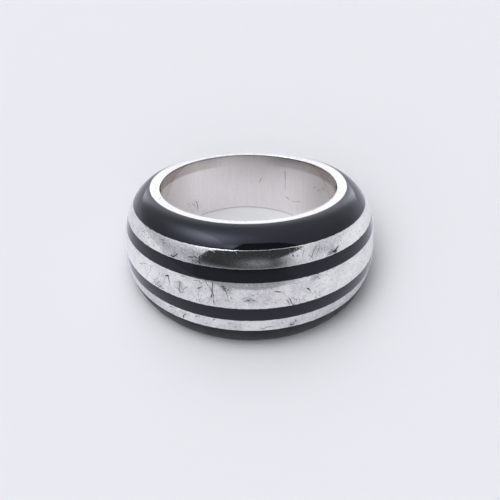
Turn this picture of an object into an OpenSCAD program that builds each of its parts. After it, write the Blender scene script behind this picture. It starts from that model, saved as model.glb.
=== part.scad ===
// Domed finger ring of silver with four bands of black enamel.
// It is wide and thick at the front (-Y) and narrow at the back (+Y), and lies on its lower rim,
// so the finger hole leans back a little. Every edge that runs round the ring lies in a plane,
// and all those planes fan out from one line behind the ring.

/* [Finger hole] */
// Inner diameter of the ring
finger_d = 17; // [15:0.5:21]

/* [Silver band] */
// Width of the flat rims round the finger hole
rim_w = 0.87; // [0.6:0.01:1.2]
// Width of the band at the front, from the upper rim to the lower one
front_w = 11.9; // [10:0.1:13]
// Width of the band at the back
back_w = 5.7; // [5:0.1:8]

/* [Dome] */
// Height of the dome over the outer edge of the rims, at the front
dome_front = 4.42; // [3.5:0.01:5]
// Height of the dome at the back
dome_back = 0.48; // [0.45:0.01:1.5]
// How late the dome swells from the back to the front: 1 is even
dome_swell = 1.08; // [0.8:0.01:1.6]
// How square the dome is in section: 2 is an ellipse
dome_square = 2.2; // [2:0.05:2.6]

/* [Enamel] */
// Depth of the channels that hold the enamel
channel_depth = 0.4; // [0.3:0.05:0.4]
// Gap between the enamel and the silver
fit_gap = 0.02; // [0.01:0.005:0.04]

/* [Smoothness] */
// Sections round the ring
section_count = 58; // [34:6:58]
// Steps along each bare silver stripe, in section
silver_steps = 3; // [2:1:4]

/* [Hidden] */
// Columns: upper edge, lower edge, steps along the section between them. An edge is a part of
// half the band's width, from 1 at the upper rim to -1 at the lower rim.
ENAMEL_BANDS = [
    [1, 0.755, 5],
    [0.5, 0.295, 3],
    [-0.12, -0.335, 3],
    [-0.538, -1, 7],
];
UPPER = 0;
LOWER = 1;
STEPS = 2;

finger_r = finger_d / 2;
rim_r = finger_r + rim_w;
// Half the width on the finger's axis, and how fast it grows towards the front
mid_half_w = (front_w + back_w) / 4;
fan_slope = (front_w - back_w) / (4 * rim_r);
lean = atan(fan_slope);
band_count = len(ENAMEL_BANDS);
section_step = 360 / section_count;
// The blank that the band is cut from reaches this far past the rims and into the hole
spare = 1;

// Half the width of the band at a turn from the front and a radius
function half_w(turn, r) = mid_half_w + fan_slope * r * cos(turn);

// Height of the dome over the rims at a turn from the front
function dome_h(turn) = dome_back + (dome_front - dome_back) * pow((1 + cos(turn)) / 2, dome_swell);

// Place along the section, 0 degrees at the upper rim and 180 at the lower, of an edge in the table
function edge_angle(part) = acos(sign(part) * pow(abs(part), dome_square / 2));

// Parts of the dome's height and of half the band's width at a place along the section
function out_part(angle) = pow(abs(sin(angle)), 2 / dome_square);
function side_part(angle) = sign(cos(angle)) * pow(abs(cos(angle)), 2 / dome_square);

// Direction that runs down along the dome's section, as radius and height
function down_dome(turn, angle) =
    let (
        out = pow(out_part(angle), dome_square - 1) / dome_h(turn),
        up = sign(cos(angle)) * pow(abs(side_part(angle)), dome_square - 1) / half_w(turn, rim_r)
    )
    [up, -out] / norm([up, -out]);

// Point of the section, as radius and height, sunk under the dome and shifted down along it
function section_point(turn, angle, sunk = 0, shift = 0) =
    let (
        dome_r = rim_r + dome_h(turn) * out_part(angle),
        r = dome_r - sunk * out_part(angle),
        z = (half_w(turn, dome_r) - sunk) * side_part(angle)
    )
    [r, z] + shift * down_dome(turn, angle);

// Row of section points from one place to another, both ends among them
function section_run(turn, from, to, steps, sunk) =
    [for (i = [0:steps]) section_point(turn, from + (to - from) * i / steps, sunk)];

// Section of one enamel band: its face from top to bottom, then its underside back up
function enamel_section(turn, band) =
    let (
        top = edge_angle(ENAMEL_BANDS[band][UPPER]),
        bottom = edge_angle(ENAMEL_BANDS[band][LOWER]),
        steps = ENAMEL_BANDS[band][STEPS],
        step = (bottom - top) / steps,
        depth = channel_depth - fit_gap
    )
    concat(
        [section_point(turn, top, 0, fit_gap)],
        section_run(turn, top + step, bottom - step, steps - 2, 0),
        [section_point(turn, bottom, 0, -fit_gap)],
        [section_point(turn, bottom, depth, -fit_gap)],
        section_run(turn, bottom - step, top + step, steps - 2, depth),
        [section_point(turn, top, depth, fit_gap)]
    );

// Face of the bare silver stripe that follows an enamel band
function stripe_face(turn, band) =
    let (
        top = edge_angle(ENAMEL_BANDS[band][LOWER]),
        bottom = edge_angle(ENAMEL_BANDS[band + 1][UPPER])
    )
    section_run(turn, top, bottom, silver_steps, 0);

// Floor of the channel that holds an enamel band
function channel_floor(turn, band) =
    section_run(
        turn,
        edge_angle(ENAMEL_BANDS[band][UPPER]),
        edge_angle(ENAMEL_BANDS[band][LOWER]),
        ENAMEL_BANDS[band][STEPS],
        channel_depth
    );

// Section of the silver blank, from its inside over the upper rim and down the channels
function blank_section(turn) =
    let (
        inside = finger_r - spare,
        high = half_w(turn, rim_r) + spare
    )
    concat(
        [[inside, high], [rim_r, high]],
        [
            for (band = [0:band_count - 1])
                each concat(
                    channel_floor(turn, band),
                    band < band_count - 1 ? stripe_face(turn, band) : []
                )
        ],
        [[rim_r, -high], [inside, -high]]
    );

// A section's radius and height, set at its turn from the front (-Y)
function set_at(turn, point) = [point.x * sin(turn), -point.x * cos(turn), point.y];

// Closed loop of sections round the finger
module ring_loop(sections) {
    points_each = len(sections[0]);
    points = [
        for (i = [0:section_count - 1])
            for (p = sections[i]) set_at(i * section_step, p)
    ];
    faces = [
        for (i = [0:section_count - 1], j = [0:points_each - 1])
            let (
                here = i * points_each,
                next = ((i + 1) % section_count) * points_each,
                k = (j + 1) % points_each
            )
            each [[here + j, next + j, next + k], [here + j, next + k, here + k]]
    ];
    polyhedron(points, faces);
}

// Space between the planes of the two rims
module between_rims() {
    reach = rim_r + dome_front + spare;
    low = mid_half_w - fan_slope * reach;
    high = mid_half_w + fan_slope * reach;
    rotate([90, 0, 90])
        linear_extrude(2 * reach, center = true)
            polygon([[-reach, -high], [reach, -low], [reach, low], [-reach, high]]);
}

// Distance back (+Y) of a point of the ring once it lies on its lower rim
function laid_y(p) = p.y * cos(lean) + p.z * sin(lean);
outline_ys = [
    for (turn = [0, 180])
        for (p = section_run(turn, 0, 180, 90, 0)) laid_y(set_at(turn, p))
];
middle_y = (min(outline_ys) + max(outline_ys)) / 2;

// Lays a piece on the lower rim, with the middle of the ring's outline at the origin
module laid_down() {
    translate([0, -middle_y, mid_half_w * cos(lean)])
        rotate([-lean, 0, 0])
            children();
}

// One cast piece of silver: rims, walls between the channels, and finger hole
module silver_band() {
    color("silver")
        laid_down()
            difference() {
                intersection() {
                    ring_loop([
                        for (i = [0:section_count - 1]) blank_section(i * section_step)
                    ]);
                    between_rims();
                }
                cylinder(h = 4 * mid_half_w, r = finger_r, center = true, $fn = 128);
            }
}

// Band of enamel, counted from the upper rim
module enamel_band(band) {
    color("#26282c")
        laid_down()
            ring_loop([
                for (i = [0:section_count - 1]) enamel_section(i * section_step, band)
            ]);
}

module enamel_at_upper_rim() {
    enamel_band(0);
}

module enamel_upper_stripe() {
    enamel_band(1);
}

module enamel_lower_stripe() {
    enamel_band(2);
}

module enamel_at_lower_rim() {
    enamel_band(3);
}

silver_band();
enamel_at_upper_rim();
enamel_upper_stripe();
enamel_lower_stripe();
enamel_at_lower_rim();
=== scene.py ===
# %% [markdown]
# # A domed silver ring with black enamel bands
#
# This lesson builds the looks of a finger ring round a model that holds its sizes. The real ring
# is cast in silver, turned and filed to a dome, and cut with four channels. Black glass powder is
# melted into them, and the outside is polished level. So there are two materials, and almost all
# that the eye sees is what they mirror, broken up by years of wear.

import math

import bpy
import numpy as np
from mathutils import Matrix, Vector


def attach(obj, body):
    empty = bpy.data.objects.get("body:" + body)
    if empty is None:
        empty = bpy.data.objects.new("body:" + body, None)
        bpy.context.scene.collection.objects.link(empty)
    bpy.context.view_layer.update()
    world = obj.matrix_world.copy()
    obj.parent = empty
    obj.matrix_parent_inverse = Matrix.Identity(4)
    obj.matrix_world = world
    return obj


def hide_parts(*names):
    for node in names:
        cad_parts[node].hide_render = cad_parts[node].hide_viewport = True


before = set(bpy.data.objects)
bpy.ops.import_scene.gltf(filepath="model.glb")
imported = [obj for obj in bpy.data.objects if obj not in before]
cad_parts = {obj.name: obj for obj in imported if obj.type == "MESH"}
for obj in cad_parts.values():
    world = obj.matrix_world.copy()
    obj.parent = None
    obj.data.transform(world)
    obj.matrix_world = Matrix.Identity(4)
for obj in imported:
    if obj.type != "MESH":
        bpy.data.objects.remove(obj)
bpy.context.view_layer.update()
scene = bpy.context.scene
# Standard shows each colour as it is written, with no film look over it
scene.view_settings.view_transform = "Standard"
# The lesson reckons in millimetres, and Blender in metres
MM = 0.001

# %% [markdown]
# ## The ring's form
#
# The ring is a round tube for the finger with a dome outside. Its rims lie in planes that lean
# away from each other towards the front, and so does every line that runs round it. Circles would
# have to be bent by hand. Three short functions give any point instead, so the pieces share their
# edges exactly. A point has a turn, the angle round the finger from the front, and a place, the
# angle along the section from the upper rim to the lower.

# %% Sizes in millimetres
FINGER_R = 8.5
RIM_W = 0.87
RIM_R = FINGER_R + RIM_W
# Width of the ring and height of its dome over the rims, in front and behind
FRONT_W, BACK_W = 11.9, 5.7
DOME_FRONT, DOME_BACK = 4.42, 0.48
# How late the dome swells towards the front (1 is even), and how square it is (2 is an ellipse)
DOME_SWELL, DOME_SQUARE = 1.08, 2.2
# Depth of the channels, and the gap under the enamel
CHANNEL_DEPTH, FIT_GAP = 0.4, 0.02
# Upper and lower edge of each enamel band, as parts of half the ring's width
ENAMEL_EDGES = [(1, 0.755), (0.5, 0.295), (-0.12, -0.335), (-0.538, -1)]

# Half the width on the finger's axis, how fast it grows forwards, and the lean of the rims
MID_HALF_W = (FRONT_W + BACK_W) / 4
FAN_SLOPE = (FRONT_W - BACK_W) / (4 * RIM_R)
LEAN = math.atan(FAN_SLOPE)
print("each rim leans by", round(math.degrees(LEAN), 2), "degrees")


# %% Points of the dome's section, as radius and height
def half_w(turn, r):
    """Half the width of the ring at a turn from the front and a radius."""
    return MID_HALF_W + FAN_SLOPE * r * np.cos(turn)


def dome_point(turn, place, sunk=0.0):
    """Point of the dome, place 0 at the upper rim and pi at the lower, sunk under its surface."""
    swell = ((1 + np.cos(turn)) / 2) ** DOME_SWELL
    height = DOME_BACK + (DOME_FRONT - DOME_BACK) * swell
    out = np.abs(np.sin(place)) ** (2 / DOME_SQUARE)
    side = np.sign(np.cos(place)) * np.abs(np.cos(place)) ** (2 / DOME_SQUARE)
    r = RIM_R + height * out
    return np.stack([r - sunk * out, (half_w(turn, r) - sunk) * side], axis=-1)


def edge_place(part):
    """Place along the section of an edge that is given as a part of half the width."""
    return np.arccos(np.sign(part) * np.abs(part) ** (DOME_SQUARE / 2))


# %% Lay the ring on its lower rim
# Sections in front and behind, as distance back and height before the ring leans
section_places = np.linspace(0, np.pi, 91)
outline = [dome_point(turn, section_places) * (-math.cos(turn), 1) for turn in (0, math.pi)]
outline_y = np.concatenate(outline) @ (math.cos(LEAN), math.sin(LEAN))
MIDDLE_Y = (outline_y.min() + outline_y.max()) / 2
CENTRE = Vector((0, -MIDDLE_Y, MID_HALF_W * math.cos(LEAN))) * MM


def laid_down(turn, section):
    """Turns radius and height into x, y and z in metres, with the ring resting on the floor."""
    x = section[..., 0] * np.sin(turn)
    y = -section[..., 0] * np.cos(turn)
    z = section[..., 1]
    back = y * math.cos(LEAN) + z * math.sin(LEAN) - MIDDLE_Y
    up = z * math.cos(LEAN) - y * math.sin(LEAN) + MID_HALF_W * math.cos(LEAN)
    return np.stack([x, back, up], axis=-1) * MM


print("middle of the ring in mm", [round(v / MM, 3) for v in CENTRE])

# %% [markdown]
# ## Camera
#
# Small jewellery is photographed from far off with a long lens, so that the near side doesn't
# look swollen. The camera stands half a metre away, about 41 degrees up and a little to the left,
# and it is slid sideways rather than turned, so the ring sits just above the picture's middle.

# %% Camera
# Distance in metres and direction from the ring's middle, and which way is up in the picture
CAMERA_DISTANCE = 0.4809
CAMERA_WAY = Vector((-0.0557, -0.7550, 0.6532)).normalized()
CAMERA_UP = Vector((0.0340, 0.6525, 0.7570))
SLIDE_RIGHT, SLIDE_UP = 0.000164, -0.002294
# Focal length and width of the sensor in mm, and the nearest distance drawn, in metres
FOCAL_LENGTH, SENSOR_WIDTH, NEAREST = 360, 36, 0.01

right = CAMERA_UP.cross(CAMERA_WAY).normalized()
up = CAMERA_WAY.cross(right)
lens = bpy.data.cameras.new("long_lens")
lens.lens, lens.sensor_width = FOCAL_LENGTH, SENSOR_WIDTH
lens.clip_start = NEAREST
camera = bpy.data.objects.new("camera", lens)
stand = CENTRE + CAMERA_WAY * CAMERA_DISTANCE + right * SLIDE_RIGHT + up * SLIDE_UP
facing = Matrix((right, up, CAMERA_WAY)).transposed().to_4x4()
camera.matrix_world = Matrix.Translation(stand) @ facing
scene.collection.objects.link(camera)
scene.camera = camera
print("camera at", [round(v, 4) for v in stand])

# %% [markdown]
# ## Two small helpers
#
# Colours are written as the hex values that a screen shows. Nodes could be joined by hand, but
# code says what each is for. The values fill the new node's inputs in order, and each is a
# number, a vector, a socket, or another node, whose first output then feeds the input.


# %% Helpers for colours and nodes
def linear(hex_colour):
    """Linear red, green, blue and alpha of an sRGB hex colour."""
    srgb = [int(hex_colour[i : i + 2], 16) / 255 for i in (1, 3, 5)]
    return [c / 12.92 if c <= 0.04045 else ((c + 0.055) / 1.055) ** 2.4 for c in srgb] + [1]


def add(tree, kind, *values, **settings):
    """Adds a node with its settings, and fills or links its inputs in order."""
    made = tree.nodes.new("ShaderNode" + kind)
    for name, setting in settings.items():
        setattr(made, name, setting)
    for socket, value in zip([s for s in made.inputs if s.enabled], values):
        if isinstance(value, bpy.types.Node):
            value = next(s for s in value.outputs if s.enabled)
        if isinstance(value, bpy.types.NodeSocket):
            tree.links.new(value, socket)
        elif value is not None:
            socket.default_value = value
    return made


# Makes a Map Range node ease in and out
SMOOTH = {"interpolation_type": "SMOOTHSTEP"}

# %% [markdown]
# ## Light
#
# A polished ring is lit by a tent of thin white cloth: lamps shine on it from outside, and the
# ring mirrors the glowing cloth. Sheets and lamps could be modelled, but a world whose brightness
# depends only on the direction gives the same mirror image with no noise. Each direction lies on
# a flat map: the zenith in the middle, degrees away from it outwards, right along X and back along
# Y. A bearing is the angle from the front, growing to the right.

# %% Map of the directions
world = bpy.data.worlds.new("light_tent")
scene.world = world
world.use_nodes = True
# Light then comes only by rays that a surface sends out, and each of those knows its own kind
world.cycles.sampling_method = "NONE"
sky = world.node_tree
sky.nodes.clear()

way = add(sky, "TexCoord").outputs["Generated"]
way_part = add(sky, "SeparateXYZ", way).outputs
zenith = add(sky, "Math", way_part["Z"], operation="ARCCOSINE")
zenith = add(sky, "Math", zenith, operation="DEGREES")
level_way = add(sky, "VectorMath", way, (1, 1, 0), operation="MULTIPLY")
level_way = add(sky, "VectorMath", level_way, operation="NORMALIZE")
on_map = add(sky, "VectorMath", level_way, zenith, operation="SCALE")
map_part = add(sky, "SeparateXYZ", on_map).outputs
forward = add(sky, "Math", way_part["Y"], -1, operation="MULTIPLY")
bearing = add(sky, "Math", way_part["X"], forward, operation="ARCTAN2")
bearing = add(sky, "Math", bearing, operation="DEGREES")


def sky_pool(x, y, across, along, strength):
    """Glow round a middle on the map, which fades to a third at the reach across and along."""
    away = add(sky, "VectorMath", on_map, (x, y, 0), operation="SUBTRACT")
    away = add(sky, "VectorMath", away, (across, along, 1), operation="DIVIDE")
    square = add(sky, "VectorMath", away, away, operation="DOT_PRODUCT").outputs["Value"]
    fade = add(sky, "Math", square, -1, operation="MULTIPLY")
    fade = add(sky, "Math", fade, operation="EXPONENT")
    return add(sky, "Math", fade, strength, operation="MULTIPLY")


print("map of", len(sky.nodes), "nodes")

# %% [markdown]
# One lamp glows through the cloth above and to the left, in a wide halo, and the straight side of
# its hood dims it on the right. A small glow stands in front of it. The far wall glows low down
# behind the ring, and its two brightest places turn the flat upper rim white.

# %% Cloth with its pools of light
# Columns: middle on the map in degrees (right, back), reach in degrees (across, along), strength
LAMP = (-24, 12, 15, 22, 3.6)
TENT_POOLS = [
    (-25, 8, 34, 30, 0.8),
    (-17, -21, 6, 6, 1.8),
    (-20, 88, 13, 9, 1.9),
    (29, 83, 14, 9, 1.9),
]
# A ramp is two places and the values there. This one goes by the map's X
LAMP_SIDE = (-21.5, -20.5, 1.1, 0.68)
# By degrees from the zenith: the cloth, and what its foot, the far wall and the horizon add
CLOTH, FOOT = (40, 66, 0.82, 0.6), (76, 90, 0, 0.13)
FAR_WALL, HORIZON = (62, 70, 0, 0.13), (76, 88, 0, 0.12)
# Where the far wall lies, and how near to that a direction has to be to meet its glow
FAR_WALL_WAY, NEAR_FAR_WALL = (0.26, 0.966, 0), (0.7, 0.97)
# How much brighter the tent is to the right
TENT_SIDEWAYS = (0.1, 0, 0)

lamp_side = add(sky, "MapRange", map_part["X"], *LAMP_SIDE, **SMOOTH)
light = add(sky, "Math", sky_pool(*LAMP), lamp_side, operation="MULTIPLY")
sideways = add(sky, "VectorMath", way, TENT_SIDEWAYS, operation="DOT_PRODUCT").outputs["Value"]
cloth = add(sky, "MapRange", zenith, *CLOTH, **SMOOTH)
foot = add(sky, "MapRange", zenith, *FOOT, **SMOOTH)
for one in (sideways, cloth, foot, *(sky_pool(*pool) for pool in TENT_POOLS)):
    light = add(sky, "Math", light, one, operation="ADD")
far_wall = add(sky, "VectorMath", way, FAR_WALL_WAY, operation="DOT_PRODUCT").outputs["Value"]
far_wall = add(sky, "MapRange", far_wall, *NEAR_FAR_WALL, **SMOOTH)
glow = add(sky, "MapRange", zenith, *FAR_WALL, **SMOOTH)
glow = add(sky, "Math", glow, add(sky, "MapRange", zenith, *HORIZON, **SMOOTH), operation="ADD")
light = add(sky, "Math", glow, far_wall, light, operation="MULTIPLY_ADD")
print(1 + len(TENT_POOLS), "pools of light on the cloth")

# %% [markdown]
# The open front of the tent stays dark, and its mirror image is what makes the silver look
# polished: metal with nothing dark to mirror looks like white paint. It could be a hole in a
# modelled tent. Here four ramps on the map bound it, and it is a little paler low down.

# %% The dark opening in front
# Top edge, and how far forward the slanting part of the left edge reaches, by the map's Y
TOP_EDGE, SLANT_END = (-9, -12), (-27, -29)
# The left edge slants by this much X for each Y, and is this soft. Further forward it is straight
SLANT, SLANT_EDGE = 0.667, (0.7, 2.7)
STRAIGHT_EDGE = (-56, -54)
# The right edge's bearing and half its softness, both changing with degrees from the zenith
RIGHT_EDGE, RIGHT_SOFTNESS = (50, 60, 62, 33), (50, 60, 3, 14)
# Light in the opening by degrees from the zenith, and the paler pool low in its middle
OPENING, OPENING_POOL = (70, 86, 0.045, 0.4), (4, -64, 18, 8, 0.2)

slant = add(sky, "Math", map_part["Y"], SLANT, operation="MULTIPLY")
slant = add(sky, "Math", map_part["X"], slant, operation="SUBTRACT")
slant = add(sky, "MapRange", slant, *SLANT_EDGE, **SMOOTH)
slant_end = add(sky, "MapRange", map_part["Y"], *SLANT_END, **SMOOTH)
left_edge = add(sky, "Math", slant, slant_end, operation="MAXIMUM")
straight_edge = add(sky, "MapRange", bearing, *STRAIGHT_EDGE, **SMOOTH)
right_limit = add(sky, "MapRange", zenith, *RIGHT_EDGE, **SMOOTH)
right_soft = add(sky, "MapRange", zenith, *RIGHT_SOFTNESS, **SMOOTH)
right_edge = add(sky, "Math", bearing, right_limit, operation="SUBTRACT")
right_edge = add(sky, "Math", right_edge, right_soft, operation="DIVIDE")
right_edge = add(sky, "MapRange", right_edge, 1, -1, **SMOOTH)
opening = add(sky, "MapRange", map_part["Y"], *TOP_EDGE, **SMOOTH)
for one in (left_edge, straight_edge, right_edge):
    opening = add(sky, "Math", opening, one, operation="MULTIPLY")
dark = add(sky, "MapRange", zenith, *OPENING, **SMOOTH)
dark = add(sky, "Math", dark, sky_pool(*OPENING_POOL), operation="ADD")
light = add(sky, "Mix", opening, light, dark)
print("tent and opening of", len(sky.nodes), "nodes")

# %% [markdown]
# The board needs a broader light than the ring mirrors, or the shadow would be too deep. In the
# studio more lamps give it. Here rays that left a matt surface meet a light of their own: a broad
# pool above the camera, a weaker one behind that reaches the board inside the ring, and a low
# ring all round. The eye itself sees a plain pale backdrop.

# %% Light for mirrors, light on the floor, and the backdrop
TENT_COLOUR, BACKDROP = linear("#f6f8ff"), linear("#e7e8ed")
# Columns as for the tent's pools
FLOOR_POOLS = [(-12.5, -29, 18, 32, 7.0), (0, 34, 24, 14, 1.5)]
# Ramp by degrees from the zenith, and how much brighter it is to the left and in front
LOW_RING, FLOOR_SIDEWAYS = (62, 84, 0, 2.25), (-0.12, -0.1, 0)

sideways = add(sky, "VectorMath", way, FLOOR_SIDEWAYS, operation="DOT_PRODUCT")
floor_light = sideways.outputs["Value"]
low_ring = add(sky, "MapRange", zenith, *LOW_RING, **SMOOTH)
for one in (low_ring, *(sky_pool(*pool) for pool in FLOOR_POOLS)):
    floor_light = add(sky, "Math", floor_light, one, operation="ADD")
floor_light = add(sky, "Math", floor_light, 0.0, operation="MAXIMUM")
ray = add(sky, "LightPath").outputs
tent = add(sky, "Background", TENT_COLOUR, light)
on_floor = add(sky, "Background", TENT_COLOUR, floor_light)
backdrop = add(sky, "Background", BACKDROP, 1.0)
answer = add(sky, "MixShader", ray["Is Diffuse Ray"], tent, on_floor)
answer = add(sky, "MixShader", ray["Is Camera Ray"], answer, backdrop)
add(sky, "OutputWorld", answer)
print("light tent of", len(sky.nodes), "nodes")

# %% [markdown]
# ## Floor
#
# The ring lies on a sheet of matt white board. It could be a curved sweep of paper, but all that
# shows is flat, so it is one very large square. It ends 50 mm in front of the ring, just outside
# the picture, so the silver mirrors the dark opening over its edge. Board scatters light evenly,
# so it is rough and shines only along its surface.

# %% Floor
FLOOR_SIZE, FLOOR_FRONT = 6.0, 50 * MM
# The board lies a hair under the rim, in metres, so that the two faces don't fight
FLOOR_DROP = 0.00002
floor_place = (0, FLOOR_SIZE / 2 - FLOOR_FRONT, -FLOOR_DROP)
bpy.ops.mesh.primitive_plane_add(size=FLOOR_SIZE, location=floor_place)
floor = bpy.context.object
floor.name = "floor"
board = bpy.data.materials.new("matt_white_board")
board.use_nodes = True
shader = board.node_tree.nodes["Principled BSDF"]
shader.inputs["Base Color"].default_value = linear("#e0dfdf")
shader.inputs["Roughness"].default_value = 0.45
shader.inputs["Specular IOR Level"].default_value = 0.4
floor.data.materials.append(board)
print("board of", FLOOR_SIZE, "metres")

# %% [markdown]
# ## Columns round the ring
#
# Every piece is a net of columns round the ring and rows across it. An even net would need far
# more faces. So the columns stand about a tenth of a millimetre apart where wear shows, at the
# front outside and at the back inside, and wider apart at the sides.

# %% Columns
# Each line: from and to, in degrees of turn from the front, and how many columns between them
TURN_STEPS = [(-180, -115, 96), (-115, -65, 50), (-65, 65, 384), (65, 115, 50), (115, 180, 96)]
turns = [np.linspace(a, b, count, endpoint=False) for a, b, count in TURN_STEPS]
turns = np.radians(np.concatenate(turns))
TURN = turns[:, None]
FRONT = len(turns) // 2
print(len(turns), "columns, the front one at", round(math.degrees(turns[FRONT]), 3), "degrees")


# %% Rows
# Where the rows at the edge of a stripe stand, as parts of its edge zone
EDGE_ROWS = np.array([0, 0.2, 0.45, 0.72])


def across(count, edge=0.04):
    """Places from 0 to 1 across a stripe, closer together at its two edges."""
    ends = edge * EDGE_ROWS
    return np.concatenate([ends, np.linspace(edge, 1 - edge, count), 1 - ends[::-1]])


def row_lengths(points):
    """Millimetres along each column's section, from its first point."""
    steps = np.linalg.norm(np.diff(points, axis=1), axis=-1)
    return np.concatenate([np.zeros((len(points), 1)), np.cumsum(steps, axis=1)], axis=1)


# %% [markdown]
# ## Wear
#
# Silver is soft. Knocks leave pits and short scratches, and grime gathers in them. Random marks
# would never fall where the real ones are, so the larger ones are charted. Each stroke is a path,
# in degrees of turn and in parts of the stripe's width from its upper edge. On the finger wall
# the second number is in mm below the upper rim.

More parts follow.
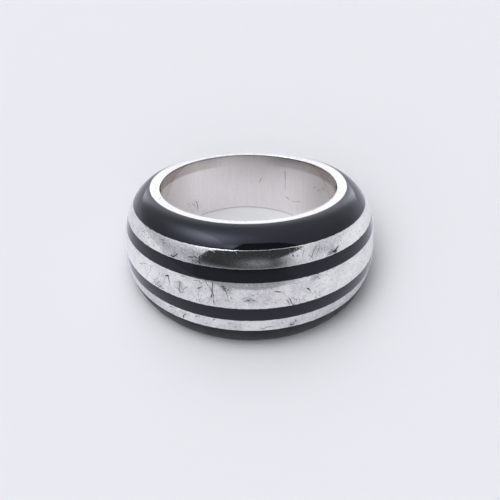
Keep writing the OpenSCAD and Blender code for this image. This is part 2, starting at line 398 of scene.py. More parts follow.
# %% Chart of the strokes
# Columns: width in mm, darkness, and then turn and place of each point of the path
STROKES = {
    "stripe 1": [
        (0.12, 0.5, -59.3, 0.44, -58.2, 0.32), (0.1, 0.3, -51, 0.6, -50.4, 0.7),
        (0.1, 0.7, -46.2, 0.28, -44.8, 0.24, -44, 0.27), (0.1, 0.6, -44.6, 0.38),
        (0.12, 0.7, -43.6, 0.32, -43.2, 0.42), (0.08, 0.6, -44, 0.46, -43.4, 0.49),
        (0.1, 0.5, -42.4, 0.3), (0.1, 0.6, -40.4, 0.28, -40.1, 0.36), (0.12, 0.6, -37.3, 0.4),
        (0.14, 1, -38, 0.92, -37, 0.94, -36.3, 0.88), (0.13, 1, -36.1, 0.86, -35.4, 0.74),
        (0.08, 0.3, -33.4, 0.55, -32.4, 0.6), (0.11, 1, -29.2, 0.68, -28.6, 0.67),
        (0.12, 1, -28.3, 0.68, -27.6, 0.67), (0.08, 0.7, -27.2, 0.62, -26.2, 0.6),
        (0.08, 0.8, -26.2, 0.68, -25, 0.66), (0.12, 1, -24.6, 0.56, -24.3, 0.72),
        (0.14, 1, -24.9, 0.82, -24, 0.92), (0.08, 0.6, -26, 0.84), (0.08, 0.5, -27.4, 0.86),
        (0.1, 0.3, -28.2, 0.3), (0.1, 0.8, -20.6, 0.12, -19.4, 0.16),
        (0.1, 0.6, 18.8, 0.18, 19.4, 0.24), (0.07, 0.5, 20, 0.48, 20.7, 0.3),
        (0.07, 0.6, 22.6, 0.66, 23.6, 0.76, 23.7, 0.84),
        (0.08, 0.8, 23.7, 0.72, 25, 0.48, 26.6, 0.28), (0.07, 0.5, 26.6, 0.6, 27.6, 0.42),
        (0.07, 0.5, 27.6, 0.58, 28.5, 0.3), (0.12, 0.7, 29.1, 0.46, 29.2, 0.5),
        (0.07, 0.5, 30.1, 0.66, 30.7, 0.5), (0.1, 0.9, 31.6, 0.92, 33.2, 0.9),
        (0.12, 0.6, 32.4, 0.8, 34.5, 0.78), (0.16, 1, 34.5, 0.86, 35.7, 0.95),
        (0.16, 1, 35.4, 0.83, 36.1, 0.86), (0.15, 1, 36.3, 0.8, 37.8, 0.72),
        (0.09, 0.4, 39.8, 0.42, 40.5, 0.5), (0.09, 0.35, 40.6, 0.22, 41.4, 0.26),
    ],
    "stripe 2": [
        (0.08, 0.8, -57, 0.53, -55.8, 0.46, -54.2, 0.38, -52.6, 0.32),
        (0.08, 0.45, -52.6, 0.32, -50.4, 0.28, -48.4, 0.25), (0.09, 0.5, -48.8, 0.27, -49, 0.44),
        (0.1, 0.35, -49.4, 0.56, -50.6, 0.68, -51.8, 0.88), (0.07, 0.4, -47.4, 0.2, -46.4, 0.11),
        (0.08, 0.5, -47.6, 0.92, -46, 0.82), (0.07, 0.5, -46.6, 0.76, -45, 0.68),
        (0.09, 0.75, -44.7, 0.86, -43.4, 0.72), (0.1, 0.8, -43.8, 0.98, -42.4, 0.85),
        (0.07, 0.5, -45.8, 0.96, -44.9, 0.88), (0.1, 0.6, -41.8, 0.95, -41, 0.92),
        (0.12, 0.5, -43.3, 0.33, -43, 0.39), (0.1, 0.5, -41.2, 0.36), (0.09, 0.4, -40.5, 0.44),
        (0.07, 0.35, -40.6, 0.63, -39.4, 0.62), (0.15, 1, -39.6, 0.33, -38.6, 0.28),
        (0.13, 1, -38.6, 0.29, -38, 0.42), (0.09, 0.8, -37.9, 0.42, -37.5, 0.57),
        (0.06, 0.3, -37.4, 0.68, -35.8, 0.76), (0.06, 0.35, -38, 0.8, -36.4, 0.84),
        (0.08, 0.6, -34.4, 0.44, -33.2, 0.38, -31.6, 0.37),
        (0.13, 0.6, -32.4, 0.36, -32.3, 0.48, -32.6, 0.62, -32.3, 0.76),
        (0.08, 0.6, -34.9, 0.62, -33.8, 0.68, -32.6, 0.68), (0.1, 0.7, -32.6, 0.74, -31.2, 0.75),
        (0.08, 0.7, -31, 0.65, -29.3, 0.5), (0.13, 0.8, -31.3, 0.07, -30.5, 0.06),
        (0.08, 0.5, -25.4, 0.13, -24.3, 0.1), (0.12, 0.6, -23.7, 0.1, -23.5, 0.14),
        (0.11, 0.8, -23.9, 0.4, -22.8, 0.35), (0.07, 0.45, -23.7, 0.44, -23.8, 0.68),
        (0.13, 0.6, -23.6, 0.84, -23.4, 0.88),
        (0.08, 0.6, -21, 0.04, -20.5, 0.16, -19.7, 0.26),
        (0.08, 0.6, -19.2, 0.3, -18.7, 0.4, -18.2, 0.48),
        (0.09, 0.9, -18.1, 0.03, -18, 0.3, -18.1, 0.44, -17.6, 0.58),
        (0.07, 0.6, -17.5, 0.6, -17.5, 0.9), (0.11, 0.7, -17.6, 0.8),
        (0.13, 0.9, -18.5, 0.6, -18.4, 0.65), (0.06, 0.5, -18.7, 0.68, -19.6, 0.84, -20.3, 0.93),
        (0.05, 0.4, -17.4, 0.72, -16.6, 0.95), (0.11, 1, -14.4, 0.19, -13.6, 0.18),
        (0.11, 1, -13.5, 0.28, -13.1, 0.25), (0.11, 0.9, -13, 0.35, -12.7, 0.32),
        (0.1, 0.8, -12.3, 0.41), (0.08, 0.5, -12, 0.51), (0.12, 0.9, -11.8, 0.31, -11.5, 0.29),
        (0.1, 0.7, -10.9, 0.23), (0.08, 0.5, -10.8, 0.4),
        (0.07, 0.5, -11.9, 0.54, -11.8, 0.66, -11.3, 0.76), (0.08, 0.4, -12.7, 0.72),
        (0.07, 0.4, -5.8, 0.62, -5, 0.6), (0.09, 0.7, -4.8, 0.72, -4.2, 0.71),
        (0.12, 1, -3.9, 0.67, -3.3, 0.69), (0.08, 0.6, -2.9, 0.61), (0.11, 0.8, -1.7, 0.68),
        (0.07, 0.4, -2.6, 0.75), (0.07, 0.4, -0.9, 0.7), (0.05, 0.5, 2.6, 0.7, 5, 0.69),
        (0.07, 0.5, 4.2, 0.54, 4.6, 0.6), (0.08, 0.4, 3.2, 0.82, 3.8, 0.84),
        (0.07, 0.35, 5.8, 0.77, 7, 0.79), (0.07, 0.35, 8, 0.73, 9, 0.72),
        (0.13, 0.9, 7.1, 0.39, 8, 0.42, 8.8, 0.42), (0.16, 0.3, 10, 0.48),
        (0.1, 0.8, 11.5, 0.76, 12.1, 0.83, 12.6, 0.94),
        (0.1, 0.95, 12.6, 0.72, 13.2, 0.8, 13.7, 0.93, 14.2, 0.98),
        (0.12, 0.6, 14.3, 0.74, 14.9, 0.8), (0.09, 0.6, 14.7, 0.9, 15, 0.97),
        (0.08, 0.5, 15.5, 0.8, 15.8, 0.9), (0.08, 0.6, 16.5, 0.78, 17, 0.88, 17.2, 0.96),
        (0.08, 0.5, 17.9, 0.85, 18.9, 0.78), (0.08, 0.3, 14.8, 0.36, 15, 0.46),
        (0.08, 0.5, 19.6, 0.46, 20.4, 0.47), (0.17, 1, 20.5, 0.5, 21, 0.54),
        (0.09, 0.9, 21, 0.55, 21.7, 0.63), (0.07, 0.5, 19, 0.57, 19.9, 0.61),
        (0.07, 0.4, 20.4, 0.66, 21, 0.68), (0.1, 0.6, 29.8, 0.03, 30.2, 0.04),
        (0.1, 0.5, 33.6, 0.04, 34, 0.05),
    ],
    "stripe 3": [
        (0.14, 0.3, -48, 0.5, -47.6, 0.62), (0.1, 0.5, -44.8, 0.46, -44.4, 0.4),
        (0.1, 0.7, -38.5, 0.28, -37.2, 0.12), (0.08, 0.5, -36.8, 0.22, -36, 0.1),
        (0.12, 0.3, -36, 0.5, -35.6, 0.6), (0.07, 0.5, -30.2, 0.08, -30.4, 0.32),
        (0.1, 0.8, -31.1, 0.46, -30.2, 0.36), (0.13, 1, -31.9, 0.76, -31.2, 0.5),
        (0.09, 0.6, -32.1, 0.96, -31.9, 0.78), (0.2, 0.3, -28.9, 0.2, -28.7, 0.26),
        (0.14, 0.6, -25.4, 0.16, -25.4, 0.26), (0.1, 0.6, -23.9, 0.08, -23.8, 0.14),
        (0.11, 0.8, -17.9, 0.2, -17.2, 0.08), (0.16, 0.45, -11.2, 0.3, -10.6, 0.3),
        (0.13, 0.4, -7, 0.26, -7, 0.34), (0.1, 0.25, -9, 0.55, -8.6, 0.55),
        (0.14, 0.6, 2.2, 0.78, 2.5, 0.8), (0.12, 0.55, 3.4, 0.68, 4.4, 0.6, 5.7, 0.61),
        (0.08, 0.35, 9.8, 0.2, 9.7, 0.36), (0.14, 1, 15.6, 0.37, 15.9, 0.44),
        (0.18, 1, 13.9, 0.73, 14.2, 0.77), (0.11, 0.6, 14.8, 0.64, 15, 0.68),
        (0.12, 0.6, 13.4, 0.96), (0.1, 0.25, 19.8, 0.46, 19.9, 0.7),
        (0.13, 0.35, 38.8, 0.7, 39.5, 0.95),
    ],
    "inside": [
        (0.08, 0.7, 151.4, 1.7, 151.2, 2.5), (0.06, 0.45, 151.2, 2.9, 151.3, 3.7),
        (0.14, 0.5, 168, 2.8, 168.3, 2.9), (0.1, 0.6, 150, 4.5, 149.2, 4.6),
        (0.09, 0.5, 145, 4.8, 144.2, 4.8), (0.09, 0.5, 141.4, 4.7, 140.6, 4.7),
        (0.11, 0.5, 127, 2.5), (0.11, 0.5, 122.5, 2.6), (0.11, 0.5, 117, 2.2),
        (0.1, 0.75, 213, 4.5, 212, 4.9, 211.5, 5.4), (0.08, 0.5, 220, 4.5, 219, 4.7),
        (0.08, 0.5, 216, 4.6, 215.2, 4.8),
    ],
}
print("strokes:", {name: len(strokes) for name, strokes in STROKES.items()})

# %% Chart of the stains
# Columns: turn, place, radius in mm, darkness, which is below zero where the silver is cleaner
STAINS = {
    "stripe 1": [
        (-43.5, 0.38, 0.4, 0.3), (-36.5, 0.88, 0.3, 0.6), (-27, 0.74, 0.6, 0.45),
        (-34, 0.5, 1, 0.1), (34.5, 0.85, 0.5, 0.7), (26, 0.5, 0.6, 0.2), (50, 0.5, 4, -0.4),
        (20, 0.5, 1, -0.3),
    ],
    "stripe 2": [
        (-32.3, 0.54, 0.4, 0.5), (-43.5, 0.85, 0.6, 0.3), (-3.5, 0.65, 0.4, 0.25),
        (-55, 0.6, 2.5, -0.2), (23.4, 0.14, 0.3, 0.8), (25.6, 0.08, 0.3, 0.8), (40, 0.5, 3, -0.1),
        (-12.4, 0.3, 0.6, 0.15),
    ],
    "stripe 3": [
        (-31, 0.4, 0.3, 0.5), (-9, 0.5, 0.8, 0.2), (14.4, 0.7, 0.3, 0.5), (36, 0.6, 3, 0.25),
        (55, 0.5, 3, 0.3), (-52, 0.5, 3.5, 0.3),
    ],
    "inside": [(120, 2.5, 0.8, 0.3), (215, 5, 0.8, 0.3)],
}
print("stains:", {name: len(stains) for name, stains in STAINS.items()})

# %% [markdown]
# A mesh this fine still can't hold a line as thin as a hair, and an image would blur it. So each
# point of the mesh carries how far it lies to the left or right of the nearest stroke, and the
# material draws the line where that changes sign.

# %% Distance from a mesh point to the strokes
# Stands for no stroke near by
FAR = 9.0
# A path of one point is drawn as a stroke this short, in mm
DOT_LENGTH = np.array([0.05, 0.07])
# A stroke's darkness is gone this far from its side, and fades over this width, in mm
FADE_END, FADE_WIDTH = 0.24, 0.1


def read_strokes(strokes, around, down, scale):
    """Side step from the nearest stroke in half widths, and how dark it is, fading out near by.

    The scale is the mm for a degree of turn, and the mm for one unit of place.
    """
    nearest = np.full(around.shape, FAR)
    side, darkness = np.full(around.shape, FAR), np.zeros(around.shape)
    for width, dark, *path in strokes:
        half = width / 2
        ends = list(np.reshape(path, (-1, 2)) * scale)
        if len(ends) == 1:
            ends.append(ends[0] + DOT_LENGTH)
        for a, b in zip(ends, ends[1:]):
            length = np.hypot(*(b - a))
            step = (b - a) / length
            x, y = around - a[0], down - a[1]
            on = np.clip(x * step[0] + y * step[1], 0, length)
            away = np.hypot(x - on * step[0], y - on * step[1])
            offset = np.where(y * step[0] > x * step[1], away, -away)
            closer = away - half < nearest
            nearest = np.where(closer, away - half, nearest)
            side = np.where(closer, offset / half, side)
            faded = dark * np.clip((FADE_END - nearest) / FADE_WIDTH, 0, 1)
            darkness = np.where(closer, faded, darkness)
    return side, darkness


def read_stains(stains, around, down, scale):
    """Darkness of the soft stains."""
    total = np.zeros(around.shape)
    for turn, place, radius, dark in stains:
        x, y = np.multiply((turn, place), scale)
        total += dark * np.exp(-((around - x) ** 2 + (down - y) ** 2) / radius**2)
    return total


# %% [markdown]
# ## Faces that stand level
#
# Metal and glass are polished together, and the mop rides over edges, so both fall away by a few
# thousandths of a millimetre at the seam. A bevel would be too wide, and this small roundness
# matters: it catches a bright line. The seam was cut by hand and wanders a little, and the silver
# of the upper rim laps over the enamel's edge, more so behind.

# %% Polished face between two seams
# Depth and reach of the fall at a seam, in mm
EDGE_FALL, EDGE_REACH = 0.005, 0.03
# Each seam wanders by a sum of waves: their height in mm, how many there are, and between which
# numbers the crests of one lie in a full turn
WAVE_HEIGHT, WAVE_COUNT, LEAST_WAVES, MOST_WAVES = 0.003, 6, 30, 160
# The lap of the upper rim, as places along the section. It grows by this power of the way back
FRONT_LAP, BACK_LAP, LAP_GROWTH = 0.01, 0.2, 4
rng = np.random.default_rng(7)
WANDERS = {}
for part in (part for pair in ENAMEL_EDGES for part in pair):
    waves = rng.integers(LEAST_WAVES, MOST_WAVES, WAVE_COUNT)
    WANDERS[part] = (waves, rng.uniform(0, 2 * np.pi, WAVE_COUNT))


def seam(part):
    """Place along the section of a seam in every column, with its small wandering."""
    if part == 1:
        return FRONT_LAP + BACK_LAP * ((1 - np.cos(TURN)) / 2) ** LAP_GROWTH
    if part == -1:
        return np.pi + 0 * TURN
    waves, phases = WANDERS[part]
    wander = WAVE_HEIGHT * np.sin(TURN * waves + phases).sum(axis=1, keepdims=True)
    return edge_place(part + wander / MID_HALF_W)


def outward(points):
    """Direction that points out of the surface, as radius and height."""
    along = np.gradient(points, axis=1)
    along /= np.linalg.norm(along, axis=-1, keepdims=True)
    return np.stack([-along[..., 1], along[..., 0]], axis=-1)


def polished_face(top, bottom, places, rounded=0.0):
    """Face between two seams of the dome, softened along them, and more so along a rounded top."""
    start, end = seam(top), seam(bottom)
    points = dome_point(TURN, start + (end - start) * places)
    down = row_lengths(points)
    fall = (EDGE_FALL + rounded) * np.exp(-down / EDGE_REACH)
    fall = fall + EDGE_FALL * np.exp(-(down[:, -1:] - down) / EDGE_REACH)
    return points - outward(points) * fall[..., None]


def channel(top, bottom, depth, rows):
    """Floor of the channel between two seams."""
    start, end = seam(top), seam(bottom)
    return dome_point(TURN, start + (end - start) * np.linspace(0, 1, rows), depth)


print(len(WANDERS), "seams")

# %% [markdown]
# ## Silver band
#
# One casting carries the finger wall, both flat rims, the three bare stripes and the channels
# between them. It could be cut from a solid with booleans, but those leave long thin faces that
# spoil a mirror. So its section is written once as runs of points, up the finger wall, over the
# upper rim, down the outside and back under the lower rim, and carried round.

# %% Rims and finger wall
# Columns: distance from the finger wall and fall under the flat, in mm
INNER_CORNER = [(0.012, 0.012), (0.0248, 0.0032), (0.04, 0), (0.3, 0)]
# Columns: part of the lap over the enamel, and fall under the flat in mm
OUTER_CORNER = [(0, 0), (0.85, 0.003), (1, 0.012)]
# The wall ends this far under the flats, and opens a little over a reach below them, in mm
WALL_END, WALL_EASE, EASE_REACH, EASE_BEND = 0.0248, 0.01, 0.6, 1.5
WALL_ROWS, WALL_EDGE_ROWS = 30, np.array([0, 0.012, 0.03])


def rim(side):
    """Flat rim from the finger wall to the enamel: side 1 is the upper rim, -1 the lower."""
    points = []
    for step, fall in INNER_CORNER:
        r = FINGER_R + WALL_EASE + step
        points.append(np.stack([r + 0 * TURN, half_w(TURN, r) - fall], axis=-1))
    lap = seam(1) if side == 1 else 0 * TURN
    for part, fall in OUTER_CORNER:
        points.append(dome_point(TURN, lap * part) - (0, fall))
    return np.concatenate(points, axis=1) * (1, side)


def finger_wall():
    """Finger wall from the lower rim up to the upper rim, eased open a little towards both."""
    rows = np.linspace(0.05, 0.95, WALL_ROWS)
    places = np.concatenate([WALL_EDGE_ROWS, rows, 1 - WALL_EDGE_ROWS[::-1]])
    half = half_w(TURN, FINGER_R) - WALL_END
    height = half * (2 * places - 1)
    near_rim = np.clip(1 - (half - np.abs(height)) / EASE_REACH, 0, 1)
    return np.stack([FINGER_R + WALL_EASE * near_rim**EASE_BEND, height], axis=-1)


# %% Wear of each run of the section
# Radius in mm at which turns on the outside are measured
OUTSIDE_R = 13.2
# A stain below zero, which takes all the film away
RUBBED_CLEAN = -0.7


def no_wear(run):
    """No stroke, and silver that is always rubbed clean."""
    none = np.zeros(run.shape[:2])
    return none + FAR, none, none + RUBBED_CLEAN


def charted_wear(name, around, down, scale):
    """Strokes and stains of one chart."""
    side, darkness = read_strokes(STROKES[name], around, down, scale)
    return side, darkness, read_stains(STAINS[name], around, down, scale)


def stripe_wear(name, run, places):
    """Wear of one bare stripe, placed by parts of its width."""
    width = row_lengths(run)[FRONT, -1]
    around, down = TURN * OUTSIDE_R + 0 * places, places * width + 0 * TURN
    return charted_wear(name, around, down, (math.radians(1) * OUTSIDE_R, width))


def inside_wear(run):
    """Wear of the finger wall, placed by its depth under the upper rim."""
    down = half_w(TURN, FINGER_R) - run[..., 1]
    around = (TURN % (2 * np.pi)) * FINGER_R + 0 * down
    return charted_wear("inside", around, down, (math.radians(1) * FINGER_R, 1))


# %% Section of the silver band
STRIPE_ROWS = [20, 28, 14]
CHANNEL_ROWS = [3, 2, 2, 4]
# The first stripe's upper edge is rounder in front, in mm, round a turn and over a reach in degrees
ROUND_TOP, ROUND_TURN, ROUND_REACH = 0.012, 4, 20
from_round = (TURN - math.radians(ROUND_TURN)) / math.radians(ROUND_REACH)
rounded = [ROUND_TOP * np.exp(-(from_round**4)), 0.0, 0.0]

runs = [finger_wall(), rim(1)]
wear = [inside_wear(runs[0]), no_wear(runs[1])]
for band, (top, bottom) in enumerate(ENAMEL_EDGES):
    runs.append(channel(top, bottom, CHANNEL_DEPTH, CHANNEL_ROWS[band]))
    wear.append(no_wear(runs[-1]))
    if band < len(STRIPE_ROWS):
        places = across(STRIPE_ROWS[band])
        runs.append(polished_face(bottom, ENAMEL_EDGES[band + 1][0], places, rounded[band]))
        wear.append(stripe_wear(f"stripe {band + 1}", runs[-1], places))
runs.append(rim(-1)[:, ::-1])
wear.append(no_wear(runs[-1]))
silver_section = np.concatenate(runs, axis=1)
wall_faces = runs[0].shape[1] - 1
print("section of", silver_section.shape[1], "points,", wall_faces, "faces on the finger wall")

# %% [markdown]
# Scratches need a flat map of each piece in millimetres, round the ring and along its section. It
# is stored at the corners of the faces, so the last column of faces ends where a full turn ends.

# %% Make a ring from its section
# Edges that bend by more degrees than this stay sharp
SHARP = 38


def flat_map(section):
    """Millimetres round the ring and along the section, for the four corners of every face."""
    x = np.append(turns, turns[0] + 2 * np.pi) * OUTSIDE_R
    y = row_lengths(np.concatenate([section, section[:, :1]], axis=1))[FRONT]
    flat = np.zeros((*section.shape[:2], 4, 3))
    flat[..., 0] = np.stack([x[:-1], x[1:], x[1:], x[:-1]], axis=-1)[:, None, :]
    flat[..., 1] = np.stack([y[:-1], y[:-1], y[1:], y[1:]], axis=-1)[None, :, :]
    return flat


def ring_piece(name, section, replaced):
    """Makes a closed ring from the section points of every column, in order round the section."""
    columns, rows = section.shape[:2]
    points = laid_down(TURN, section).reshape(-1, 3)
    here = np.arange(columns * rows).reshape(columns, rows)
    beside, below = np.roll(here, -1, axis=0), np.roll(here, -1, axis=1)
    corners = np.stack([here, beside, np.roll(beside, -1, axis=1), below], axis=-1).reshape(-1, 4)
    mesh = bpy.data.meshes.new(name)
    mesh.from_pydata(points, [], corners.tolist())
    mesh.update()
    mesh.set_sharp_from_angle(angle=math.radians(SHARP))
    on_band = mesh.attributes.new("on_band", "FLOAT_VECTOR", "CORNER")
    on_band.data.foreach_set("vector", flat_map(section).ravel())
    piece = bpy.data.objects.new(name, mesh)
    scene.collection.objects.link(piece)
    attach(piece, "root")
    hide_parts(replaced)
    print(name, 2 * len(corners), "triangles")
    return piece


silver = ring_piece("ring_silver", silver_section, "silver_band")

# %% Wear on the silver
for name, values in zip(("stroke_side", "stroke_dark", "stain"), zip(*wear)):
    values = np.concatenate(values, axis=1).ravel()
    silver.data.attributes.new(name, "FLOAT", "POINT").data.foreach_set("value", values)
    print(name, "from", round(float(values.min()), 2), "to", round(float(values.max()), 2))

# %% [markdown]
# ## Enamel bands
#
# Each band is a skin of black glass, four tenths of a millimetre thick, that fills its channel. It
# could be a dark stripe in the silver's material, but it is a part of its own, and glass mirrors
# in its own way. Its face meets the silver at the seams, and its underside lies in the channel.

# %% Enamel bands
# Columns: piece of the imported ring, and rows of the face between its edge zones
ENAMEL_BANDS = [
    ("enamel_at_upper_rim", 22),
    ("enamel_upper_stripe", 12),
    ("enamel_lower_stripe", 14),
    ("enamel_at_lower_rim", 26),
]
enamel_pieces = []
for band, (name, rows) in enumerate(ENAMEL_BANDS):
    top, bottom = ENAMEL_EDGES[band]
    under = channel(top, bottom, CHANNEL_DEPTH - FIT_GAP, CHANNEL_ROWS[band])[:, ::-1]
    section = np.concatenate([polished_face(top, bottom, across(rows)), under], axis=1)
    enamel_pieces.append(ring_piece("ring_" + name, section, name))

# %% [markdown]
# ## Worn silver
#
# The outside was polished to a mirror and then worn for years. Bare silver mirrors almost all
# light, and less where a thin violet-grey film of tarnish lies in its fine scratches. A painted
# image could show that, but noise at real sizes goes on all round with no seam. So a cloudy
# pattern runs between the two colours, and the scratches are drawn over it: hairlines of three
# lengths in random directions, and the charted strokes.


# %% Start and finish a material
def start_material(name):
    """New material, its node tree, and the place in mm in the object and on the flat map."""
    material = bpy.data.materials.new(name)
    material.use_nodes = True
    tree = material.node_tree
    solid = add(tree, "TexCoord").outputs["Object"]
    solid = add(tree, "VectorMath", solid, 1 / MM, operation="SCALE")
    on_band = add(tree, "Attribute", attribute_name="on_band").outputs["Vector"]
    return material, tree, solid, on_band


def finish_material(tree, colour, relief):
    """Gives the shader its colour and its relief, a height in mm, and returns its inputs."""
    bump = add(tree, "Bump")
    bump.inputs["Distance"].default_value = MM
    tree.links.new(relief.outputs[0], bump.inputs["Height"])
    shader = tree.nodes["Principled BSDF"].inputs
    tree.links.new(bump.outputs[0], shader["Normal"])
    tree.links.new(colour, shader["Base Color"])
    return shader


# %% Mottled film
metal, worn, solid, on_band = start_material("worn_sterling_silver")
worn_stain = add(worn, "Attribute", attribute_name="stain").outputs["Fac"]
# Columns: size of the clouds in mm, share of the film that they carry
CLOUDS = [(2.2, 0.2), (0.5, 0.15), (0.13, 0.35)]
# Detail and roughness of the noise, the range of it that counts, and how the sum becomes the film
CLOUD_DETAIL, CLOUD_RANGE = (3, 0.6), (0.36, 0.64)
FILM_RANGE = (-0.75, 0.75, 0.05, 0.95)
film = 0.0
for size, share in CLOUDS:
    cloud = add(worn, "TexNoise", solid, 1 / size, *CLOUD_DETAIL)
    cloud = add(worn, "MapRange", cloud, *CLOUD_RANGE, -share, share)
    film = add(worn, "Math", cloud, film, operation="ADD")
film = add(worn, "MapRange", film, *FILM_RANGE, **SMOOTH)
film = add(worn, "Math", film, worn_stain, operation="ADD")
print("film of", len(CLOUDS), "sizes of clouds")

# %% Hairlines in random directions
# Real ones are a few thousandths of a millimetre wide. These are coarser, so that they show
# Columns: spacing, half length and half width in mm, share of the cells that hold one, depth
HAIRLINES = [
    (1.5, 0.75, 0.022, 0.55, 0.8),
    (0.8, 0.38, 0.020, 0.6, 0.7),
    (0.42, 0.17, 0.018, 0.6, 0.7),
]
# Parts of the half width and half length that are full, and how strong the strongest lines are
FULL_WIDTH, FULL_LENGTH, STRONGEST = 0.4, 0.5, 1.4


def hairlines(tree, flat, spacing, half_long, half_wide, share, depth):
    """One straight scratch in a share of the cells, each in a direction of its own."""
    scaled = add(tree, "VectorMath", flat, 1 / spacing, operation="SCALE")
    cell = add(tree, "TexVoronoi", scaled, 1.0, voronoi_dimensions="2D")
    chance = add(tree, "SeparateXYZ", cell.outputs["Color"]).outputs
    local = add(tree, "VectorMath", scaled, cell.outputs["Position"], operation="SUBTRACT")
    local = add(tree, "VectorMath", local, spacing, operation="SCALE")
    angle = add(tree, "Math", chance["X"], math.pi, operation="MULTIPLY")
    local = add(tree, "VectorRotate", local, (0, 0, 0), angle, rotation_type="Z_AXIS")
    size = add(tree, "SeparateXYZ", add(tree, "VectorMath", local, operation="ABSOLUTE")).outputs
    line = add(tree, "MapRange", size["X"], half_wide, FULL_WIDTH * half_wide, 0, depth, **SMOOTH)
    lengthwise = add(tree, "MapRange", size["Y"], half_long, FULL_LENGTH * half_long, **SMOOTH)
    held = add(tree, "MapRange", chance["Y"], 1 - share, 1, 0, STRONGEST)
    line = add(tree, "Math", line, lengthwise, operation="MULTIPLY")
    return add(tree, "Math", line, held, operation="MULTIPLY")


scratch = 0.0
for one in HAIRLINES:
    scratch = add(worn, "Math", hairlines(worn, on_band, *one), scratch, operation="MAXIMUM")
scratch = add(worn, "Math", scratch, 1.0, operation="MINIMUM")
print("hairlines of", len(HAIRLINES), "lengths")


# %% Charted strokes and stains
# Half widths of a stroke at which it begins to show and at which it is full
STROKE_RANGE = (1.2, 0.5)
# Stains are grainy, in grains of this size in mm
GRAIN_SIZE, GRAIN_DETAIL, GRAIN_RANGE = 0.14, (2, 0.6), (0.5, 0.62)


def charted_marks(tree, solid):
    """Strokes and grainy stains that the mesh carries."""
    side = add(tree, "Attribute", attribute_name="stroke_side").outputs["Fac"]
    side = add(tree, "Math", side, operation="ABSOLUTE")
    darkness = add(tree, "Attribute", attribute_name="stroke_dark").outputs["Fac"]
    stroke = add(tree, "MapRange", side, *STROKE_RANGE, **SMOOTH)
    stroke = add(tree, "Math", stroke, darkness, operation="MULTIPLY")
    stain = add(tree, "Attribute", attribute_name="stain").outputs["Fac"]
    grain = add(tree, "TexNoise", solid, 1 / GRAIN_SIZE, *GRAIN_DETAIL)
    grain = add(tree, "MapRange", grain, *GRAIN_RANGE, **SMOOTH)
    stain = add(tree, "Math", stain, grain, operation="MULTIPLY")
    return add(tree, "Math", stroke, stain, operation="MAXIMUM")


mark = charted_marks(worn, solid)

# %% Pits, which gather in clusters
# In mm: the cells that may hold a pit, the pit's radius, and the size of the clusters
PIT_SPACING, PIT_R, CLUSTER_SIZE = 0.4, 0.065, 2.0
# Radii at which a pit begins to show and at which it is full
PIT_EDGE, PIT_FULL = 1.3 * PIT_R / PIT_SPACING, 0.5 * PIT_R / PIT_SPACING
# How the cluster's noise changes a cell's chance, and how the chance becomes the pit's darkness
CLUSTER_DETAIL, CLUSTER_RANGE = (1, 0.5), (0.35, 0.65, -0.4, 0.4)
PIT_CHANCE = (0.85, 1.1, 0, 0.8)
pit_map = add(worn, "VectorMath", on_band, 1 / PIT_SPACING, operation="SCALE")
pit_cells = add(worn, "TexVoronoi", pit_map, 1.0, voronoi_dimensions="2D")
pit = add(worn, "MapRange", pit_cells, PIT_EDGE, PIT_FULL, **SMOOTH)
cluster = add(worn, "TexNoise", solid, 1 / CLUSTER_SIZE, *CLUSTER_DETAIL)
cluster = add(worn, "MapRange", cluster, *CLUSTER_RANGE)
cluster = add(worn, "Math", cluster, worn_stain, operation="ADD")
held = add(worn, "SeparateXYZ", pit_cells.outputs["Color"]).outputs["X"]
held = add(worn, "Math", held, cluster, operation="ADD")
held = add(worn, "MapRange", held, *PIT_CHANCE)
pit = add(worn, "Math", pit, held, operation="MULTIPLY")
mark = add(worn, "Math", mark, pit, operation="MAXIMUM")
print("pits", 2 * PIT_R, "mm wide")

# %% Colour and gloss of the worn silver
# Clean silver is nearly white, and the film greys it. The film also roughens it, and grime more so
CLEAN, FILM, HAIRLINE, GRIME = (linear(c) for c in ("#fbfaf9", "#ccc9cf", "#77747a", "#3a383c"))
HAIRLINE_SHARE, FILM_ROUGHNESS, GRIME_ROUGHNESS = 0.75, (0, 1, 0.03, 0.14), 0.3
colour = add(worn, "Mix", film, CLEAN, FILM, data_type="RGBA").outputs[2]
hairline_share = add(worn, "Math", scratch, HAIRLINE_SHARE, operation="MULTIPLY")
colour = add(worn, "Mix", hairline_share, colour, HAIRLINE, data_type="RGBA").outputs[2]
colour = add(worn, "Mix", mark, colour, GRIME, data_type="RGBA").outputs[2]
rough = add(worn, "MapRange", film, *FILM_ROUGHNESS)
rough = add(worn, "Math", mark, GRIME_ROUGHNESS, rough, operation="MULTIPLY_ADD")
print("roughness from", FILM_ROUGHNESS[2], "to", FILM_ROUGHNESS[3])


# %% Relief of the worn silver
# Columns: wavelength in mm and height in mm of the unevenness that polishing leaves
UNEVEN = [(3.0, 0.006), (0.7, 0.0016), (0.25, 0.0006)]
# Height in mm of hairlines and of strokes and pits, and the detail of the smoothest noise
HAIRLINE_HEIGHT, MARK_HEIGHT, WAVE_DETAIL = -0.0015, -0.008, (1, 0.5)


def waves(tree, solid, sizes):
    """Height in mm of waves in a polished face."""
    relief = 0.0
    for size, height in sizes:
        wave = add(tree, "TexNoise", solid, 1 / size, *WAVE_DETAIL)
        relief = add(tree, "Math", wave, height, relief, operation="MULTIPLY_ADD")
    return relief


relief = waves(worn, solid, UNEVEN)
relief = add(worn, "Math", scratch, HAIRLINE_HEIGHT, relief, operation="MULTIPLY_ADD")
relief = add(worn, "Math", mark, MARK_HEIGHT, relief, operation="MULTIPLY_ADD")
shader = finish_material(worn, colour, relief)
worn.links.new(rough.outputs[0], shader["Roughness"])
shader["Metallic"].default_value = 1
silver.data.materials.append(metal)
print("worn silver of", len(worn.nodes), "nodes")

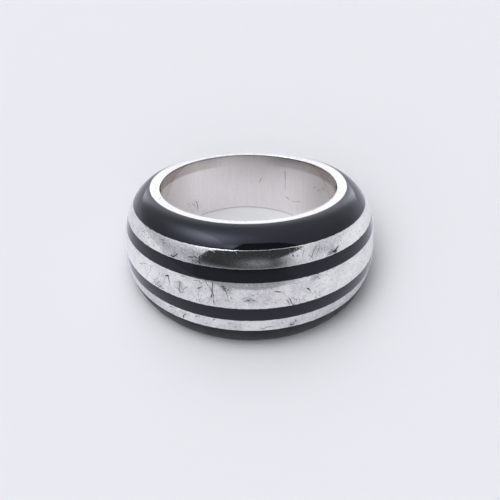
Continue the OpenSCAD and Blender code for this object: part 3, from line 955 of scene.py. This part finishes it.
# %% [markdown]
# ## Finger wall
#
# The inside is the same silver, brushed along the finger. A very rough metal would lose its
# gloss, so fine grooves blur what it mirrors. Skin keeps most of it clean. A brown painted shade
# lies in a band under the upper rim, a painted reflection of the shaded floor at the front wall's
# foot, with more painted shade at that rim's edge, a painted contact shadow along the foot behind,
# and it grows darker towards both sides. Light that bounces in the hole takes on silver's warm
# tone.

# %% Grooves of the finger wall
brushed_metal, brushed, solid, on_band = start_material("brushed_sterling_silver")
# Real brush lines are finer. These are coarser, so that they show
# Columns: spacing of the grooves and their length in mm, share
GROOVES = [(0.5, 6.0, 0.3), (0.16, 3.0, 0.4), (0.08, 1.5, 0.3)]
# The flat map is in mm at the outside, so this brings it down to the finger wall
TO_WALL = FINGER_R / OUTSIDE_R
GROOVE_DETAIL, GROOVE_RANGE = (2, 0.6), (0.4, 0.6)
groove = 0.0
for spacing, length, share in GROOVES:
    stretch = (TO_WALL / spacing, 1 / length, 0)
    stretched = add(brushed, "VectorMath", on_band, stretch, operation="MULTIPLY")
    streak = add(brushed, "TexNoise", stretched, 1.0, *GROOVE_DETAIL, noise_dimensions="2D")
    groove = add(brushed, "Math", streak, share, groove, operation="MULTIPLY_ADD")
mark = charted_marks(brushed, solid)
print("grooves of", len(GROOVES), "sizes")

# %% Painted shade of the finger wall
# Direction square to the upper rim's plane, and how far along it that plane lies, in mm
RIM_WAY, RIM_AT = (0, math.sin(2 * LEAN), math.cos(2 * LEAN)), 9.07
# Ramps of painted shade, in mm: along that direction for the band and the edge, by X for the rest
SHADE_UNDER_RIM, EDGE_SHADE = (RIM_AT - 1.3, RIM_AT - 1.0), (RIM_AT - 0.2, RIM_AT - 0.1, 0, 0.5)
BAND_LEFT, BAND_RIGHT = (-1, -4.5, 0.02, 0.42), (1, 4.5, 0, 0.25)
SHADE_LEFT, SHADE_RIGHT = (-4.5, -8.5, 0, 0.6), (4.0, 8.5, 0, 0.62)
# The foot's painted contact shadow goes by Z, and counts only from the middle backwards, by Y
FOOT_SHADOW, BACKWARDS = (0.16, 0.06, 0, 0.45), (0, 2)
place = add(brushed, "SeparateXYZ", solid).outputs
over = add(brushed, "VectorMath", solid, RIM_WAY, operation="DOT_PRODUCT").outputs["Value"]
# Painted reflection: the band under the upper rim stands for the shaded floor at the front wall's
# foot, which the wall mirrors
shade_under_rim = add(brushed, "MapRange", over, *SHADE_UNDER_RIM, **SMOOTH)
band_left = add(brushed, "MapRange", place["X"], *BAND_LEFT, **SMOOTH)
band_right = add(brushed, "MapRange", place["X"], *BAND_RIGHT, **SMOOTH)
band = add(brushed, "Math", band_left, band_right, operation="ADD")
painted_shade = add(brushed, "Math", shade_under_rim, band, operation="MULTIPLY")
# Painted shade along the upper rim's edge
edge_shade = add(brushed, "MapRange", over, *EDGE_SHADE)
backwards = add(brushed, "MapRange", place["Y"], *BACKWARDS)
# Painted contact shadow along the foot behind
foot_shadow = add(brushed, "MapRange", place["Z"], *FOOT_SHADOW)
foot_shadow = add(brushed, "Math", foot_shadow, backwards, operation="MULTIPLY")
# Painted shade, darker towards both sides
shade_right = add(brushed, "MapRange", place["X"], *SHADE_RIGHT, **SMOOTH)
shade_left = add(brushed, "MapRange", place["X"], *SHADE_LEFT)
for one in (edge_shade, foot_shadow, shade_right, shade_left):
    painted_shade = add(brushed, "Math", painted_shade, one, operation="ADD")
print("grooves and tarnish of", len(brushed.nodes), "nodes")

# %% Colour, gloss and relief of the finger wall
# The third colour is the brown of the painted shade and painted contact shadow
WALL_LIGHT, WALL_DULL, WALL_PAINTED_SHADE = (linear(c) for c in ("#fefbfa", "#f9f4f3", "#86776e"))
WALL_ROUGHNESS, GROOVE_HEIGHT = 0.07, 0.0003
tone = add(brushed, "MapRange", groove, *GROOVE_RANGE, **SMOOTH)
colour = add(brushed, "Mix", tone, WALL_LIGHT, WALL_DULL, data_type="RGBA").outputs[2]
# Mixes in the brown painted shade
colour = add(brushed, "Mix", painted_shade, colour, WALL_PAINTED_SHADE, data_type="RGBA").outputs[2]
colour = add(brushed, "Mix", mark, colour, GRIME, data_type="RGBA").outputs[2]
relief = add(brushed, "Math", groove, GROOVE_HEIGHT, operation="MULTIPLY")
relief = add(brushed, "Math", mark, MARK_HEIGHT, relief, operation="MULTIPLY_ADD")
shader = finish_material(brushed, colour, relief)
shader["Metallic"].default_value = 1
shader["Roughness"].default_value = WALL_ROUGHNESS
silver.data.materials.append(brushed_metal)
on_wall = np.zeros(silver_section.shape[:2], dtype=np.int32)
on_wall[:, :wall_faces] = 1
silver.data.polygons.foreach_set("material_index", on_wall.ravel())
print("finger wall of", len(brushed.nodes), "nodes on", int(on_wall.sum()), "faces")

# %% [markdown]
# ## Enamel
#
# Vitreous enamel is glass, fired and then polished, so its index of refraction is 1.5. It is
# black all through, with a blue cast, and nearly all that shows is the gloss on top. Dust and skin
# leave a faint bloom, which shows at a low angle, and the shader's sheen is made for that. The
# band at the lower rim rubs on tables and on the next finger, so its gloss is gone.

# %% Black enamel
# Columns: name, least and most roughness, specular level, bloom, pieces
ENAMELS = [
    ("glossy_black_enamel", 0.01, 0.04, 0.5, 0.5, enamel_pieces[:3]),
    ("rubbed_black_enamel", 0.4, 0.5, 0.28, 0.0, enamel_pieces[3:]),
]
# Columns: wavelength and height in mm of the waves that polishing leaves in the glass
GLASS_WAVES = [(2.5, 0.004), (0.6, 0.0006)]
# Columns as for the hairlines in silver
GLASS_HAIRLINES = (1.1, 0.5, 0.02, 0.5, 0.5)
# Patches of more and less gloss: their size in mm, and the range of the noise that counts
HAZE_SIZE, HAZE_RANGE = 1.2, (0.35, 0.65)
GLASS, GLASS_SCRATCH = linear("#0d0e10"), linear("#2a2a2f")
GLASS_SHINE, BLOOM = linear("#ced2e6"), linear("#d4d7ee")
GLASS_IOR, BLOOM_ROUGHNESS = 1.5, 0.3
for name, least, most, shine, bloom, pieces in ENAMELS:
    glass, tree, solid, on_band = start_material(name)
    scratch = hairlines(tree, on_band, *GLASS_HAIRLINES)
    colour = add(tree, "Mix", scratch, GLASS, GLASS_SCRATCH, data_type="RGBA").outputs[2]
    haze = add(tree, "TexNoise", solid, 1 / HAZE_SIZE, *CLOUD_DETAIL)
    rough = add(tree, "MapRange", haze, *HAZE_RANGE, least, most)
    shader = finish_material(tree, colour, waves(tree, solid, GLASS_WAVES))
    tree.links.new(rough.outputs[0], shader["Roughness"])
    shader["IOR"].default_value = GLASS_IOR
    shader["Specular IOR Level"].default_value = shine
    shader["Specular Tint"].default_value = GLASS_SHINE
    shader["Sheen Weight"].default_value = bloom
    shader["Sheen Roughness"].default_value = BLOOM_ROUGHNESS
    shader["Sheen Tint"].default_value = BLOOM
    for piece in pieces:
        piece.data.materials.append(glass)
    print(name, "on", [piece.name for piece in pieces])
